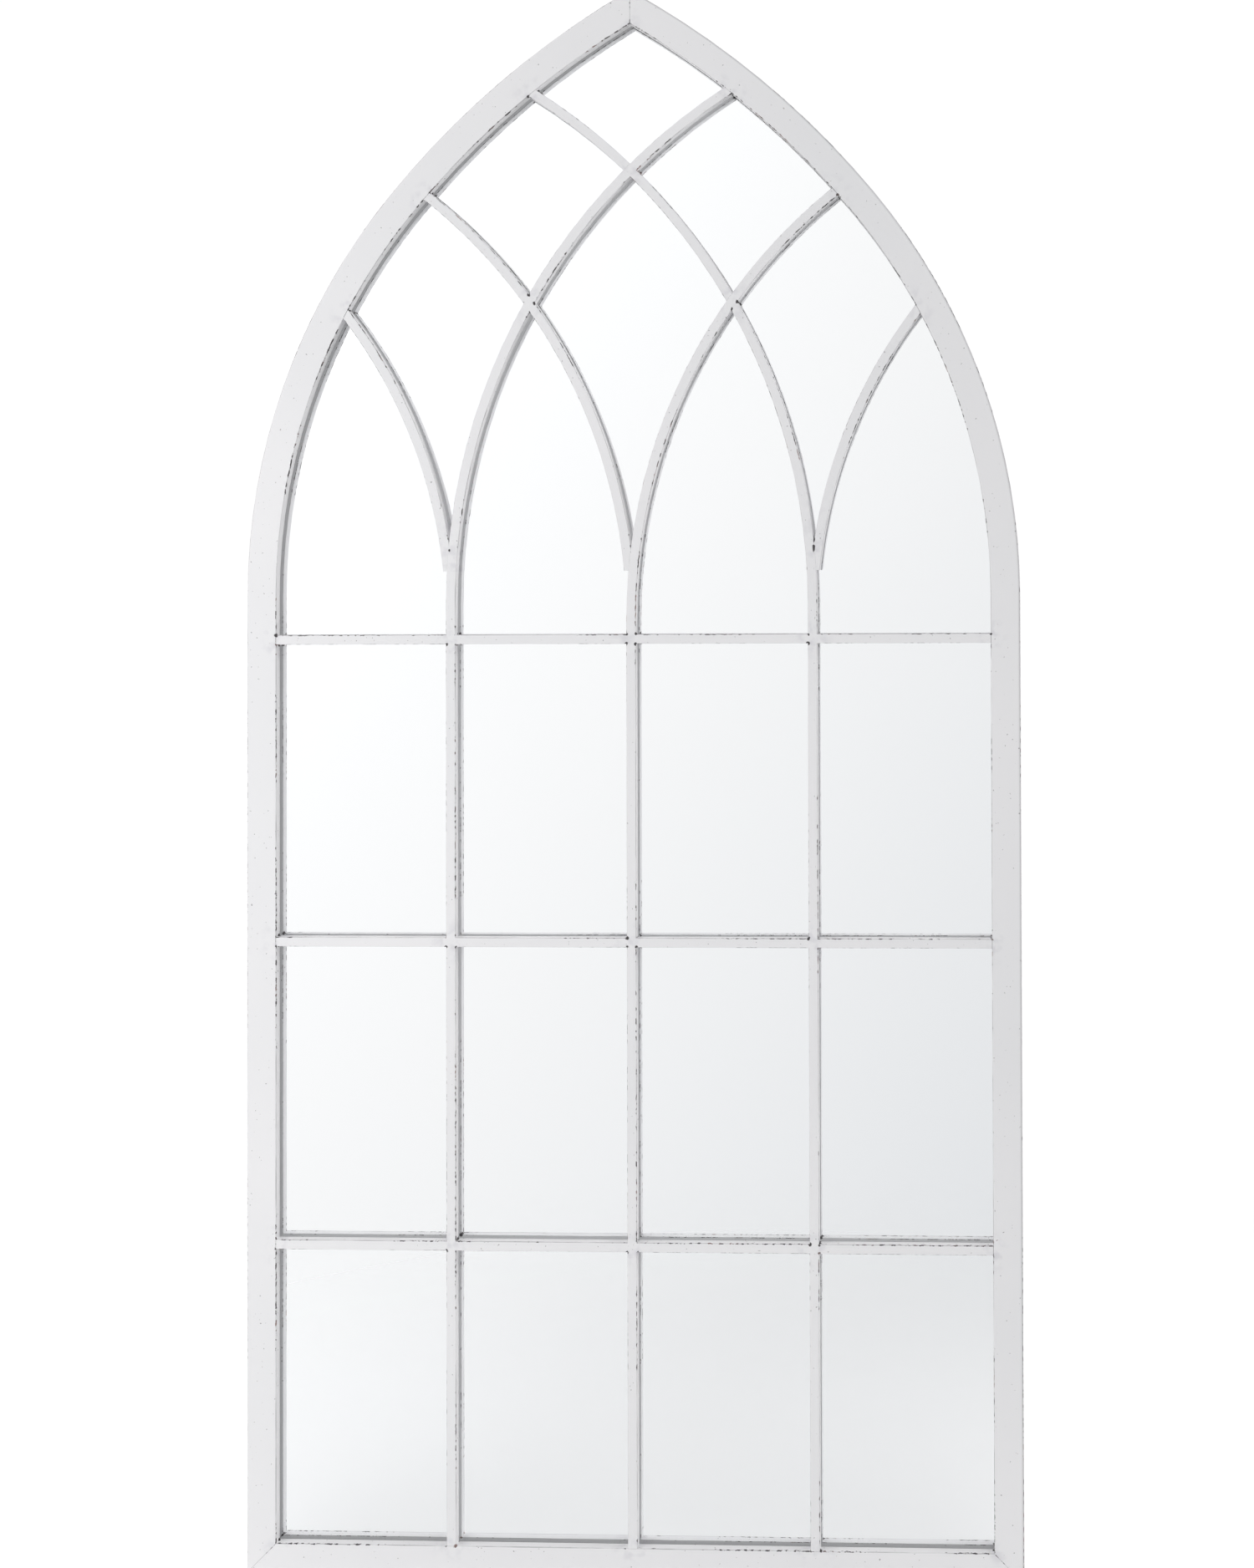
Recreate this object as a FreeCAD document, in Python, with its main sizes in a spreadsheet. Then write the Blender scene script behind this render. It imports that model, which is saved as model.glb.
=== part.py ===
import FreeCAD, Part
import math
import os

from FreeCAD import Placement, Rotation, Vector
import Sketcher

# Wall mirror in the shape of a pointed church window. X is to the right, Z is up and the
# front looks along -Y. The origin is under the middle of the frame, halfway through its
# depth. Welded steel bars stand in front of one pane of mirror glass. Foam tape holds the
# glass off the back of the frame, and a board with folded tabs holds it in from behind.

SIZES = (
    # frame outline
    ("overall_width", 800),
    ("spring_height", 1005),      # bottom edge to the level where the arch begins
    ("lower_radius", 650),        # outer radius of each arch side near the spring line
    ("lower_sweep", 39.5),        # degrees that the lower radius turns through
    ("upper_radius", 900),        # outer radius from there to the point
    ("frame_face", 30),           # width of the frame seen from the front
    ("face_depth", 10),           # depth of the flat frame tube
    ("tube_wall", 1.5),
    ("lip_wall", 3),              # strip behind the tube that hides the edges inside
    ("edge_chamfer", 0.5),        # broken front edges of the tube
    # window bars
    ("bar_width", 9.5),
    ("bar_depth", 9.5),
    ("crossbar_drop", 40.5),      # spring line down to the top of the upper crossbar
    ("tall_arc_radius", 625),     # centre line of the outer mullions' arcs
    ("tall_arc_drop", 8),         # how far below the spring line they begin
    ("centre_arc_radius", 560),
    ("centre_arc_drop", 25),
    ("side_arc_radius", 525),
    ("side_arc_drop", 29),
    ("toe_rise", 25),             # spring line to the blunt foot of a welded-on arc
    # glass and backing
    ("tape_inset", 8),            # outer edge of the frame to the tape
    ("tape_width", 12),
    ("tape_thickness", 2),
    ("glass_thickness", 4),
    ("glass_clearance", 2),       # between the glass edge and the lip
    ("board_thickness", 3),
    ("board_clearance", 1),       # between the board edge and the lip
    ("rear_space", 6),            # room behind the board for the strap and screw heads
    # folded tabs that hold the board in
    ("tab_width", 16),
    ("tab_reach", 15),
    ("tab_sheet", 1.2),
    ("tab_bend", 0.4),            # inner radius of the fold
    ("tab_clearance", 0.5),       # between a tab's welded leg and the strap's depth
    ("tab_spacing", 230),         # longest distance from one tab to the next
    # hanging strap
    ("strap_rise", 125),          # spring line up to the middle of the strap
    ("strap_width", 40),
    ("strap_thickness", 2.5),
    ("keyhole_spacing", 450),
    ("keyhole_entry", 10),        # diameter that a screw head passes
    ("keyhole_slot", 5),          # width that holds the screw's shank
    ("keyhole_drop", 12),         # entry centre up to the slot's end centre
)

doc = FreeCAD.newDocument("ArchedWindowMirror")
sheet = doc.addObject("Spreadsheet::Sheet", "Sizes")
for row, (alias, value) in enumerate(SIZES, start=1):
    sheet.set(f"A{row}", alias.replace("_", " "))
    sheet.set(f"B{row}", str(value))
    sheet.setAlias(f"B{row}", alias)
doc.recompute()


def size(alias):
    """The number that the sheet holds under this name."""
    return float(sheet.get(alias))


class Length:
    """A length worked out from the sheet, as a number and as the expression behind it."""

    def __init__(self, number, text):
        self.number = number
        self.text = text

    def __add__(self, other):
        return Length(self.number + other.number, f"{self.text} + {other.text}")

    def __sub__(self, other):
        return Length(self.number - other.number, f"{self.text} - ({other.text})")

    def __mul__(self, factor):
        return Length(self.number * factor, f"({self.text}) * {factor}")


def cell(alias):
    return Length(size(alias), f"Sizes.{alias}")


NOTHING = Length(0, "0")
HALF_WIDTH = cell("overall_width") * 0.5
HALF_BAR = cell("bar_width") * 0.5
HALF_LAP = cell("bar_depth") * 0.5          # crossing bars give up half their depth each
# Three mullions part the opening into four equal panes, and each third of the height below
# the top of the upper crossbar holds one row of them
BAR_PITCH = (cell("overall_width") - cell("frame_face") * 2 + cell("bar_width")) * 0.25
ROW_HEIGHT = (cell("spring_height") - cell("crossbar_drop") - cell("frame_face")) * (1 / 3)
STRAP_HEIGHT = cell("spring_height") + cell("strap_rise")
# Depths behind the front face, for the layers from front to back
GLASS_FRONT = cell("face_depth") + cell("tape_thickness")
BOARD_FRONT = GLASS_FRONT + cell("glass_thickness")
BOARD_BACK = BOARD_FRONT + cell("board_thickness")
FRAME_DEPTH = BOARD_BACK + cell("rear_space")
STRAP_FRONT = FRAME_DEPTH - cell("strap_thickness")

START, END, CENTRE = 1, 2, 3                # numbers of the points on a sketched edge
ORIGIN = (-1, START)
X_AXIS, Z_AXIS = -1, -2                     # numbers of a sketch's own axes


# ---- sketches -----------------------------------------------------------------------

def origin_plane(body, role):
    return next(feature for feature in body.Origin.OriginFeatures if feature.Role == role)


def front_sketch(body, name, depth=NOTHING):
    """A sketch seen from the front, at a depth behind the front face."""
    sketch = body.newObject("Sketcher::SketchObject", name)
    sketch.AttachmentSupport = [(origin_plane(body, "XZ_Plane"), "")]
    sketch.MapMode = "FlatFace"
    sketch.setExpression("AttachmentOffset.Base.z", (FRAME_DEPTH * 0.5 - depth).text)
    return sketch


def relate(sketch, *rules):
    for rule in rules:
        sketch.addConstraint(Sketcher.Constraint(*rule))


def pin(sketch, kind, *where, to):
    """Adds a dimension that follows the sheet."""
    index = sketch.addConstraint(Sketcher.Constraint(kind, *where, to.number))
    sketch.setExpression(f"Constraints[{index}]", to.text)


def pin_height(sketch, edge, end, height):
    """Puts a point at a height above the bottom of the frame."""
    if height.number:
        pin(sketch, "DistanceY", *ORIGIN, edge, end, to=height)
    else:
        relate(sketch, ("PointOnObject", edge, end, X_AXIS))


def line(sketch, start, end):
    return sketch.addGeometry(Part.LineSegment(Vector(*start, 0), Vector(*end, 0)))


def arc(sketch, centre, radius, first, last):
    circle = Part.Circle(Vector(*centre, 0), Vector(0, 0, 1), radius)
    return sketch.addGeometry(Part.ArcOfCircle(circle, first, last))


def close_with(sketch, *gaps):
    """Bridges each pair of end points with a straight line."""
    for start, end in gaps:
        first, last = sketch.getPoint(*start), sketch.getPoint(*end)
        edge = line(sketch, (first.x, first.y), (last.x, last.y))
        relate(sketch, ("Coincident", edge, START, *start), ("Coincident", edge, END, *end))


def arch_centres():
    """Centres of the left side's lower and upper arcs, and the sweep in radians."""
    sweep = math.radians(size("lower_sweep"))
    step = size("upper_radius") - size("lower_radius")
    low = (size("lower_radius") - HALF_WIDTH.number, size("spring_height"))
    return low, (low[0] + step * math.cos(sweep), low[1] - step * math.sin(sweep)), sweep


def arch_side(sketch, inset, concentric_with=None):
    """Upright, lower arc and upper arc of the left side, inset from the outer edge."""
    low_centre, high_centre, sweep = arch_centres()
    lower, upper = cell("lower_radius") - inset, cell("upper_radius") - inset
    shoulder = math.pi - sweep
    edge_x = inset.number - HALF_WIDTH.number
    point = math.pi - math.acos(high_centre[0] / upper.number)
    upright = line(sketch, (edge_x, inset.number), (edge_x, size("spring_height")))
    low = arc(sketch, low_centre, lower.number, shoulder, math.pi)
    high = arc(sketch, high_centre, upper.number, point, shoulder)
    relate(sketch,
           ("Vertical", upright),
           ("Tangent", upright, END, low, END),
           ("Tangent", low, START, high, END),
           ("PointOnObject", high, START, Z_AXIS))
    pin_height(sketch, upright, START, inset)
    if concentric_with is None:
        pin(sketch, "DistanceX", upright, START, *ORIGIN, to=HALF_WIDTH - inset)
        pin_height(sketch, upright, END, cell("spring_height"))
    else:
        relate(sketch, ("Coincident", low, CENTRE, concentric_with, CENTRE))
    pin(sketch, "Radius", low, to=lower)
    pin(sketch, "Radius", high, to=upper)
    pin(sketch, "Angle", low, to=Length(sweep, "Sizes.lower_sweep * 1 deg"))
    return upright, low, high


def arch_band(sketch, outer, inner):
    """Left half of a band that follows the frame, mitred at the foot."""
    outside, low, outer_high = arch_side(sketch, outer)
    inside, _, inner_high = arch_side(sketch, inner, concentric_with=low)
    close_with(sketch,
               ((outer_high, START), (inner_high, START)),
               ((inside, START), (outside, START)))


def half_panel(sketch, inset):
    """Left half of a panel of the frame's shape, inset all round."""
    upright, _, high = arch_side(sketch, inset)
    bottom = line(sketch, (0, inset.number), (inset.number - HALF_WIDTH.number, inset.number))
    relate(sketch,
           ("Horizontal", bottom),
           ("PointOnObject", bottom, START, Z_AXIS),
           ("Coincident", bottom, END, upright, START))
    close_with(sketch, ((high, START), (bottom, START)))


def level_strip(sketch, lower, upper):
    """Two level edges centred on the frame, each given as its height and half its length."""
    edges = []
    for height, half in (lower, upper):
        edge = line(sketch, (-half.number, height.number), (half.number, height.number))
        relate(sketch, ("Symmetric", edge, START, edge, END, Z_AXIS))
        pin(sketch, "DistanceX", edge, START, edge, END, to=half * 2)
        pin_height(sketch, edge, START, height)
        edges.append(edge)
    close_with(sketch,
               ((edges[0], START), (edges[1], START)),
               ((edges[0], END), (edges[1], END)))


def bottom_band(sketch, outer, inner):
    """Bottom length of a band, mitred at both ends."""
    level_strip(sketch, (outer, HALF_WIDTH - outer), (inner, HALF_WIDTH - inner))


def crook(sketch, place, radius, drop):
    """A bar that stands straight, then bends to the right in a quarter circle."""
    bend_from = cell("spring_height") - cell(drop)
    mean = cell(radius)
    centre = (place.number + mean.number, bend_from.number)
    sides = []
    for edge_x, bend in ((place - HALF_BAR, mean + HALF_BAR), (place + HALF_BAR, mean - HALF_BAR)):
        upright = line(sketch, (edge_x.number, 0), (edge_x.number, bend_from.number))
        curve = arc(sketch, centre, bend.number, math.pi / 2, math.pi)
        relate(sketch,
               ("Vertical", upright),
               ("PointOnObject", upright, START, X_AXIS),
               ("Tangent", upright, END, curve, END))
        pin(sketch, "Radius", curve, to=bend)
        sides.append((upright, curve))
    (left, outer), (right, inner) = sides
    relate(sketch,
           ("Coincident", inner, CENTRE, outer, CENTRE),
           ("Vertical", outer, START, outer, CENTRE),
           ("Vertical", inner, START, inner, CENTRE))
    pin_height(sketch, outer, CENTRE, bend_from)
    pin(sketch, "DistanceX", *ORIGIN, outer, CENTRE, to=place + mean)
    close_with(sketch, ((left, START), (right, START)), ((outer, START), (inner, START)))


# ---- solids -------------------------------------------------------------------------

def pad(body, sketch, thickness):
    """Thickens a sketch towards the wall."""
    solid = body.newObject("PartDesign::Pad", f"{body.Name}_pad")
    solid.Profile = sketch
    solid.Reversed = True
    solid.setExpression("Length", thickness.text)
    doc.recompute()
    return solid


def break_edges(body, solid):
    """Chamfers the long edges of the front face and leaves the ends, where bars meet."""
    front = -FRAME_DEPTH.number / 2
    shortest = 2 * size("frame_face")
    long_edges = [
        f"Edge{number}" for number, edge in enumerate(solid.Shape.Edges, start=1)
        if edge.Length > shortest and abs(edge.CenterOfMass.y - front) < 1e-3
    ]
    chamfer = body.newObject("PartDesign::Chamfer", f"{body.Name}_edges")
    chamfer.Base = (solid, long_edges)
    chamfer.setExpression("Size", "Sizes.edge_chamfer")
    doc.recompute()


def layer(label, outline, depth, thickness, chamfered=False):
    """A flat piece: an outline at a depth behind the front, thickened towards the wall."""
    body = doc.addObject("PartDesign::Body", label)
    body.Label = label
    sketch = front_sketch(body, f"{label}_outline", depth)
    outline(sketch)
    solid = pad(body, sketch, thickness)
    if chamfered:
        break_edges(body, solid)
    return body


def panel(label, inset, depth, thickness):
    """A panel of the frame's shape, drawn as its left half and mirrored."""
    body = layer(label, lambda sketch: half_panel(sketch, inset), depth, thickness)
    halves = body.newObject("PartDesign::Mirrored", f"{label}_halves")
    halves.Originals = [body.Tip]
    halves.MirrorPlane = (origin_plane(body, "YZ_Plane"), [""])
    body.Tip = halves
    doc.recompute()
    return body


def hollowed(body, outline):
    """Opens a tube from one mitre to the other, leaving its wall all round."""
    core = front_sketch(body, f"{body.Name}_core", cell("tube_wall"))
    outline(core)
    bore = body.newObject("PartDesign::Pocket", f"{body.Name}_bore")
    bore.Profile = core
    bore.setExpression("Length", (cell("face_depth") - cell("tube_wall") * 2).text)
    doc.recompute()
    return body


def mirrored(label, source):
    """The right-hand twin of a left-hand piece."""
    twin = doc.addObject("Part::Mirroring", label)
    twin.Label = label
    twin.Source = source
    twin.Normal = Vector(1, 0, 0)
    return twin


def trimmed(label, blank, space, gives_way_to=()):
    """A blank cut to the space that it fills, less the pieces that it gives way to."""
    inside = doc.addObject("Part::Common", f"{label}_inside")
    inside.Base = blank
    inside.Tool = space
    if not gives_way_to:
        inside.Label = label
        return inside
    joints = doc.addObject("Part::MultiFuse", f"{label}_joints")
    joints.Shapes = list(gives_way_to)
    cut = doc.addObject("Part::Cut", label)
    cut.Label = label
    cut.Base = inside
    cut.Tool = joints
    return cut


# ---- frame --------------------------------------------------------------------------

def frame_band(labels, outer, inner, depth, thickness):
    """Left, right and bottom lengths of one solid band, between two insets."""
    left = layer(labels[0], lambda sketch: arch_band(sketch, outer, inner), depth, thickness)
    right = mirrored(labels[1], left)
    bottom = layer(labels[2], lambda sketch: bottom_band(sketch, outer, inner), depth, thickness)
    return [left, right, bottom]


def frame_tube(label, band):
    """A length of the hollow tube that shows from the front."""
    body = layer(label, lambda sketch: band(sketch, NOTHING, cell("frame_face")),
                 NOTHING, cell("face_depth"), chamfered=True)
    wall = cell("tube_wall")
    return hollowed(body, lambda sketch: band(sketch, wall, cell("frame_face") - wall))


stile_left = frame_tube("stile_left", arch_band)
pieces = [stile_left, mirrored("stile_right", stile_left), frame_tube("bottom_rail", bottom_band)]
pieces += frame_band(("rear_lip_left", "rear_lip_right", "rear_lip_bottom"),
                     NOTHING, cell("lip_wall"),
                     cell("face_depth"), FRAME_DEPTH - cell("face_depth"))

# ---- window bars --------------------------------------------------------------------

opening = panel("opening_space", cell("frame_face"), NOTHING, FRAME_DEPTH)


def bar_and_halves(name, outline):
    """A whole square bar, and its front and back halves for the laps."""
    whole = layer(f"{name}_blank", outline, NOTHING, cell("bar_depth"))
    front = layer(f"{name}_front_half", outline, NOTHING, HALF_LAP)
    back = layer(f"{name}_back_half", outline, HALF_LAP, HALF_LAP)
    return whole, front, back


def mirrored_bar(name, bar):
    return [mirrored(f"{name}_{kind}", solid)
            for kind, solid in zip(("blank", "front_half", "back_half"), bar)]


left_tall, left_tall_front, left_tall_back = bar_and_halves(
    "tall_bar", lambda sketch: crook(sketch, BAR_PITCH * -1, "tall_arc_radius", "tall_arc_drop"))
right_tall, right_tall_front, right_tall_back = mirrored_bar(
    "tall_bar_twin", (left_tall, left_tall_front, left_tall_back))
centre_bar, centre_front, centre_back = bar_and_halves(
    "centre_bar", lambda sketch: crook(sketch, NOTHING, "centre_arc_radius", "centre_arc_drop"))
centre_twin, _, centre_twin_back = mirrored_bar(
    "centre_bar_twin", (centre_bar, centre_front, centre_back))
side_arc = layer("side_arc_blank",
                 lambda sketch: crook(sketch, BAR_PITCH, "side_arc_radius", "side_arc_drop"),
                 NOTHING, cell("bar_depth"))
side_arc_twin = mirrored("side_arc_twin_blank", side_arc)

crossbars = []
for step, name in enumerate(("transom_lower", "transom_middle", "transom_upper"), start=1):
    top = cell("frame_face") + ROW_HEIGHT * step
    strip = ((top - cell("bar_width"), HALF_WIDTH), (top, HALF_WIDTH))
    blank = layer(f"{name}_blank", lambda sketch, edges=strip: level_strip(sketch, *edges),
                  NOTHING, cell("bar_depth"))
    back = layer(f"{name}_back_half", lambda sketch, edges=strip: level_strip(sketch, *edges),
                 HALF_LAP, HALF_LAP)
    crossbars.append((name, blank, back))
crossbar_backs = [back for _, _, back in crossbars]

# The uprights lie over the crossbars, and right-bending arcs over left-bending ones
for name, blank, _ in crossbars:
    pieces.append(trimmed(name, blank, opening,
                          [left_tall_front, centre_front, right_tall_front]))
pieces.append(trimmed("mullion_left", left_tall, opening,
                      crossbar_backs + [centre_twin_back, right_tall_back]))
pieces.append(trimmed("mullion_centre", centre_bar, opening,
                      crossbar_backs + [right_tall_back]))
pieces.append(trimmed("mullion_right", right_tall, opening,
                      crossbar_backs + [left_tall_front, centre_front]))

# Welded-on arcs stand on the side of a mullion and end in a blunt toe
below_toes = doc.addObject("Part::Box", "below_toes")
below_toes.setExpression("Length", "Sizes.overall_width")
below_toes.setExpression("Width", FRAME_DEPTH.text)
below_toes.setExpression("Height", "Sizes.spring_height + Sizes.toe_rise")
below_toes.setExpression("Placement.Base.x", "-Sizes.overall_width / 2")
below_toes.setExpression("Placement.Base.y", (FRAME_DEPTH * -0.5).text)
pieces.append(trimmed("tracery_arc_left", side_arc_twin, opening,
                      [below_toes, left_tall_front, left_tall_back]))
pieces.append(trimmed("tracery_arc_centre", centre_twin, opening,
                      [below_toes, centre_front, centre_back, left_tall_front]))
pieces.append(trimmed("tracery_arc_right", side_arc, opening,
                      [below_toes, right_tall_front, right_tall_back]))

# ---- glass and backing --------------------------------------------------------------

tape_outer = cell("tape_inset")
pieces += frame_band(("glazing_tape_left", "glazing_tape_right", "glazing_tape_bottom"),
                     tape_outer, tape_outer + cell("tape_width"),
                     cell("face_depth"), cell("tape_thickness"))
pieces.append(panel("mirror_glass", cell("lip_wall") + cell("glass_clearance"),
                    GLASS_FRONT, cell("glass_thickness")))
pieces.append(panel("backing_board", cell("lip_wall") + cell("board_clearance"),
                    BOARD_FRONT, cell("board_thickness")))

# ---- hanging strap ------------------------------------------------------------------

lip_space = panel("lip_space", cell("lip_wall"), NOTHING, FRAME_DEPTH)


def entry_hole(sketch):
    """The keyhole's round mouth, on the left."""
    middle = cell("keyhole_spacing") * 0.5
    mouth = sketch.addGeometry(Part.Circle(Vector(-middle.number, STRAP_HEIGHT.number, 0),
                                           Vector(0, 0, 1), size("keyhole_entry") / 2))
    pin_height(sketch, mouth, CENTRE, STRAP_HEIGHT)
    pin(sketch, "DistanceX", mouth, CENTRE, *ORIGIN, to=middle)
    pin(sketch, "Diameter", mouth, to=cell("keyhole_entry"))


def shank_slot(sketch):
    """The narrow slot above the mouth, round at both ends."""
    foot, middle = STRAP_HEIGHT, cell("keyhole_spacing") * 0.5
    head = foot + cell("keyhole_drop")
    half = size("keyhole_slot") / 2
    lower = arc(sketch, (-middle.number, foot.number), half, math.pi, 2 * math.pi)
    upper = arc(sketch, (-middle.number, head.number), half, 0, math.pi)
    left = line(sketch, (-middle.number - half, head.number), (-middle.number - half, foot.number))
    right = line(sketch, (-middle.number + half, foot.number), (-middle.number + half, head.number))
    relate(sketch,
           ("Tangent", left, END, lower, START),
           ("Tangent", lower, END, right, START),
           ("Tangent", right, END, upper, START),
           ("Tangent", upper, END, left, START),
           ("Vertical", left))
    pin(sketch, "Radius", lower, to=cell("keyhole_slot") * 0.5)
    pin(sketch, "DistanceX", lower, CENTRE, *ORIGIN, to=middle)
    pin_height(sketch, lower, CENTRE, foot)
    pin_height(sketch, upper, CENTRE, head)


def strap_outline(sketch):
    lower = STRAP_HEIGHT - cell("strap_width") * 0.5
    level_strip(sketch, (lower, HALF_WIDTH), (lower + cell("strap_width"), HALF_WIDTH))


strap = layer("strap_blank", strap_outline, STRAP_FRONT, cell("strap_thickness"))
holes = []
for name, draw in (("strap_entry", entry_hole), ("strap_slot", shank_slot)):
    profile = front_sketch(strap, name, STRAP_FRONT)
    draw(profile)
    hole = strap.newObject("PartDesign::Pocket", f"{name}_cut")
    hole.Profile = profile
    hole.Type = "ThroughAll"
    hole.Midplane = True
    doc.recompute()
    holes.append(hole)
both = strap.newObject("PartDesign::Mirrored", "strap_keyholes")
both.Originals = holes
both.MirrorPlane = (origin_plane(strap, "YZ_Plane"), [""])
strap.Tip = both
pieces.append(trimmed("hanging_strap", strap, lip_space))

# ---- retaining tabs -----------------------------------------------------------------

def tab_profile(sketch):
    """The folded strip in section: a leg up the lip and a foot along the board."""
    leg = STRAP_FRONT - BOARD_BACK - cell("tab_clearance")
    reach, gauge, bend = cell("tab_reach"), cell("tab_sheet"), cell("tab_bend")
    outer = gauge + bend
    corner = (outer.number, outer.number)
    outside = arc(sketch, corner, outer.number, math.pi, 1.5 * math.pi)
    inside = arc(sketch, corner, bend.number, math.pi, 1.5 * math.pi)
    edges = [line(sketch, (0, leg.number), (0, outer.number)),
             line(sketch, (outer.number, 0), (reach.number, 0)),
             line(sketch, (reach.number, gauge.number), (outer.number, gauge.number)),
             line(sketch, (gauge.number, outer.number), (gauge.number, leg.number))]
    relate(sketch,
           ("Tangent", edges[0], END, outside, START),
           ("Tangent", outside, END, edges[1], START),
           ("Tangent", edges[2], END, inside, END),
           ("Tangent", inside, START, edges[3], START),
           ("Coincident", inside, CENTRE, outside, CENTRE),
           ("PointOnObject", edges[0], START, Z_AXIS),
           ("PointOnObject", edges[1], END, X_AXIS),
           ("Vertical", edges[0]),
           ("Horizontal", edges[1]))
    pin(sketch, "Radius", outside, to=outer)
    pin(sketch, "Radius", inside, to=bend)
    pin(sketch, "DistanceY", *ORIGIN, edges[0], START, to=leg)
    pin(sketch, "DistanceX", *ORIGIN, edges[1], END, to=reach)
    close_with(sketch,
               ((edges[1], END), (edges[2], START)),
               ((edges[3], END), (edges[0], START)))
    relate(sketch, ("Vertical", edges[1], END, edges[2], START),
           ("Horizontal", edges[3], END, edges[0], START))


tab = doc.addObject("PartDesign::Body", "tab_blank")
tab_sketch = tab.newObject("Sketcher::SketchObject", "tab_outline")
tab_sketch.AttachmentSupport = [(origin_plane(tab, "XY_Plane"), "")]
tab_sketch.MapMode = "FlatFace"
tab_profile(tab_sketch)
tab_pad = tab.newObject("PartDesign::Pad", "tab_pad")
tab_pad.Profile = tab_sketch
tab_pad.Midplane = True
tab_pad.setExpression("Length", "Sizes.tab_width")
doc.recompute()


def spread(length):
    """Middles of equal stretches, each no longer than the tabs' spacing."""
    count = math.ceil(length / size("tab_spacing"))
    return [(number + 0.5) / count for number in range(count)]


def tab_places():
    """Where tabs stand on the lip: x, z and the turn that faces them inwards, in degrees."""
    low, high, sweep = arch_centres()
    lip = size("lip_wall")
    edge_x = lip - HALF_WIDTH.number
    places = [(-edge_x * (2 * share - 1), lip, -90) for share in spread(-2 * edge_x)]
    left = [(edge_x, share * low[1], 0) for share in spread(low[1])]
    apex = math.acos(high[0] / (size("upper_radius") - lip))
    for centre_at, radius, first, last in ((low, "lower_radius", 0, sweep),
                                           (high, "upper_radius", sweep, apex)):
        reach = size(radius) - lip
        chord = math.sqrt(reach ** 2 - (size("tab_width") / 2) ** 2)
        for share in spread(reach * (last - first)):
            turn = first + share * (last - first)
            left.append((centre_at[0] - chord * math.cos(turn),
                         centre_at[1] + chord * math.sin(turn), math.degrees(turn)))
    right = [(-x, z, 180 - turn) for x, z, turn in left]
    return places + left + right


board_back_y = (BOARD_BACK - FRAME_DEPTH * 0.5).number
tabs = doc.addObject("Part::Feature", "retaining_tabs")
tabs.Label = "retaining_tabs"
copies = []
for x, z, turn in tab_places():
    copy = tab.Shape.copy()
    copy.Placement = Placement(Vector(x, board_back_y, z), Rotation(Vector(0, 1, 0), turn))
    copies.append(copy)
tabs.Shape = Part.makeCompound(copies)
pieces.append(tabs)
doc.recompute()

# ---- checks and export --------------------------------------------------------------

for item in doc.Objects:
    if {"Invalid", "Error"} & set(item.State):
        raise RuntimeError(f"{item.Name} did not rebuild: {item.State}")
os.makedirs("parts", exist_ok=True)
for piece in pieces:
    shape = piece.Shape
    if shape.isNull() or not shape.isValid() or not shape.Solids:
        raise RuntimeError(f"{piece.Label} has no valid solid")
    shape.exportStep(f"parts/{piece.Label}.step")
    print(f"{piece.Label:24} solids {len(shape.Solids)}  volume {shape.Volume:12.1f}  "
          f"y {shape.BoundBox.YMin:6.2f} to {shape.BoundBox.YMax:6.2f}  "
          f"z {shape.BoundBox.ZMin:7.1f} to {shape.BoundBox.ZMax:7.1f}")
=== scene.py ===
"""Looks of an arched window mirror: worn white paint, mirror glass, backing and a studio stage."""

import math

import bmesh
import bpy
from bpy.props import FloatProperty, FloatVectorProperty, PointerProperty
from mathutils import Matrix, Vector


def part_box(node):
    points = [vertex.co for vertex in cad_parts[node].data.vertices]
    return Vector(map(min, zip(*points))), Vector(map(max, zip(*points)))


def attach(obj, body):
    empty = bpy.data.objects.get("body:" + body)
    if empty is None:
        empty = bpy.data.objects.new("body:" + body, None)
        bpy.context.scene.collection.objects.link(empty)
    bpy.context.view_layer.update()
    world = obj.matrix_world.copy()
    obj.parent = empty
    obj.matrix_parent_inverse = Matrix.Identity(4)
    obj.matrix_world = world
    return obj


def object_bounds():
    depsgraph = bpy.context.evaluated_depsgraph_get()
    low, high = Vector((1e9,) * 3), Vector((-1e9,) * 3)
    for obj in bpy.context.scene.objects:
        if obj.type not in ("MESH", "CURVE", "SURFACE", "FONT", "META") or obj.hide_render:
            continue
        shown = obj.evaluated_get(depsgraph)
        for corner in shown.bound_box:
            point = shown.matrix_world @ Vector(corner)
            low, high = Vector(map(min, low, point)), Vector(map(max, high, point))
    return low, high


bl_info = {
    "name": "Arched Window Mirror",
    "version": (1, 0, 0),
    "blender": (4, 5, 0),
    "location": "3D Viewport > Sidebar > Mirror",
    "description": "Finishes an arched window mirror and sets a studio stage round it",
    "category": "Object",
}

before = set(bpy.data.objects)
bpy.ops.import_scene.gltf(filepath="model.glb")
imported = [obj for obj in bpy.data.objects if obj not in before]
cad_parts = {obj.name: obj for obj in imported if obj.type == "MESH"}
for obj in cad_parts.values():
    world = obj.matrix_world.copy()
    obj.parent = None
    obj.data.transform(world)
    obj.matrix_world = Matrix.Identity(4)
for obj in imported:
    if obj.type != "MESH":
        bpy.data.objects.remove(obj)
CAD_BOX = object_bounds()

FRAME_TUBES = ("stile_left", "stile_right", "bottom_rail")
CROSSBARS = ("transom_lower", "transom_middle", "transom_upper")
MULLIONS = ("mullion_left", "mullion_centre", "mullion_right")
TRACERY = ("tracery_arc_left", "tracery_arc_centre", "tracery_arc_right")
REAR_LIPS = ("rear_lip_left", "rear_lip_right", "rear_lip_bottom")
TAPES = ("glazing_tape_left", "glazing_tape_right", "glazing_tape_bottom")

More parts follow.
